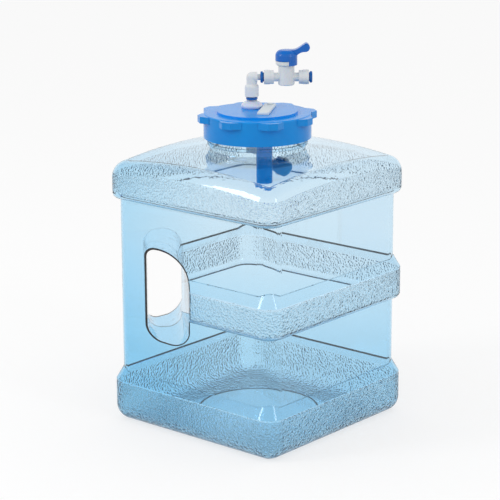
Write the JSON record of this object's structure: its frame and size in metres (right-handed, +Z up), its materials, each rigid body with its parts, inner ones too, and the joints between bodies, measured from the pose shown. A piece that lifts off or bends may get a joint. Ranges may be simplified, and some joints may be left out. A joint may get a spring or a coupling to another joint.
{
  "type": "square water container with a float-valve lid",
  "caption": "Clear blue square water container with a corner grip, a screw lid, a float valve, a tube elbow and a small ball valve.",
  "frame": {"origin": "centre of the base, on the surface that it stands on", "axes": "+Z up along the neck; the corner grip is in the corner at -X and -Y"},
  "size_m": [0.225, 0.225, 0.3991],
  "materials": {
    "clear_plastic": "gloss",
    "blue_plastic": "gloss",
    "dark_blue_plastic": "gloss",
    "white_plastic": "satin",
    "milky_plastic": "satin",
    "cover_plastic": "satin",
    "seal_rubber": "matte",
    "black_rubber": "matte",
    "seat_plastic": "matte",
    "pin_steel": "satin"
  },
  "bodies": {
    "tank": {"tank": "clear_plastic"},
    "seal": {"cap_seal": "seal_rubber"},
    "lid": {"cap": "blue_plastic", "bulkhead_nut": "milky_plastic", "port_gasket": "seal_rubber", "float_valve_body": "white_plastic", "arm_pin": "pin_steel", "cover_pin": "cover_plastic"},
    "cover": {"hose_cover": "cover_plastic"},
    "float": {"float_arm": "white_plastic", "float": "dark_blue_plastic"},
    "plunger": {"plunger": "white_plastic", "plunger_seal": "black_rubber"},
    "elbow": {"elbow": "white_plastic", "elbow_o_ring": "black_rubber"},
    "elbow_collet": {"elbow_collet": "dark_blue_plastic"},
    "valve": {"valve_body": "white_plastic", "inlet_o_ring": "black_rubber", "outlet_o_ring": "black_rubber", "inlet_seat": "seat_plastic", "outlet_seat": "seat_plastic", "bonnet": "white_plastic"},
    "inlet_collet": {"inlet_collet": "dark_blue_plastic"},
    "outlet_collet": {"outlet_collet": "dark_blue_plastic"},
    "lever": {"lever": "dark_blue_plastic", "valve_stem": "white_plastic", "valve_ball": "white_plastic", "stem_o_ring": "black_rubber"}
  },
  "joints": [
    {"name": "lid_lift", "type": "slide", "parent": "tank", "child": "seal", "axis": [0, 0, 1], "range_m": [0, 0.009]},
    {"name": "lid_turn", "type": "hinge", "parent": "seal", "child": "lid", "pos_m": [0, 0, 0.31], "axis": [0, 0, 1], "range_deg": [0, 540]},
    {"name": "cover_swing", "type": "hinge", "parent": "lid", "child": "cover", "pos_m": [-0.00255, 0.02318, 0.3326], "axis": [0, 0, 1], "range_deg": [0, 80]},
    {"name": "float_swing", "type": "hinge", "parent": "lid", "child": "float", "pos_m": [-0.01564, 0.0033, 0.2884], "axis": [0.6494, -0.7604, 0], "range_deg": [0, 28]},
    {"name": "plunger_slide", "type": "slide", "parent": "lid", "child": "plunger", "axis": [0, 0, 1], "range_m": [0, 0.0014]},
    {"name": "elbow_swivel", "type": "hinge", "parent": "lid", "child": "elbow", "pos_m": [-0.0126, 0.0059, 0.35], "axis": [0, 0, 1], "continuous": true},
    {"name": "elbow_collet_press", "type": "slide", "parent": "elbow", "child": "elbow_collet", "axis": [0, 0, 1], "range_m": [0, 0.001]},
    {"name": "valve_swivel", "type": "hinge", "parent": "elbow", "child": "valve", "pos_m": [0.00261, 0.01889, 0.3635], "axis": [0.7604, 0.6494, 0], "range_deg": [-90, 90]},
    {"name": "inlet_collet_press", "type": "slide", "parent": "valve", "child": "inlet_collet", "axis": [0.7604, 0.6494, 0], "range_m": [0, 0.001]},
    {"name": "outlet_collet_press", "type": "slide", "parent": "valve", "child": "outlet_collet", "axis": [-0.7604, -0.6494, 0], "range_m": [0, 0.001]},
    {"name": "lever_turn", "type": "hinge", "parent": "valve", "child": "lever", "pos_m": [0.01462, 0.02915, 0.3635], "axis": [0, 0, 1], "range_deg": [0, 90]}
  ],
  "couplings": [
    {"joint": "lid_lift", "follows": "lid_turn", "m_per_rad": 0.00095493},
    {"joint": "plunger_slide", "follows": "float_swing", "m_per_rad": 0.0028648}
  ]
}
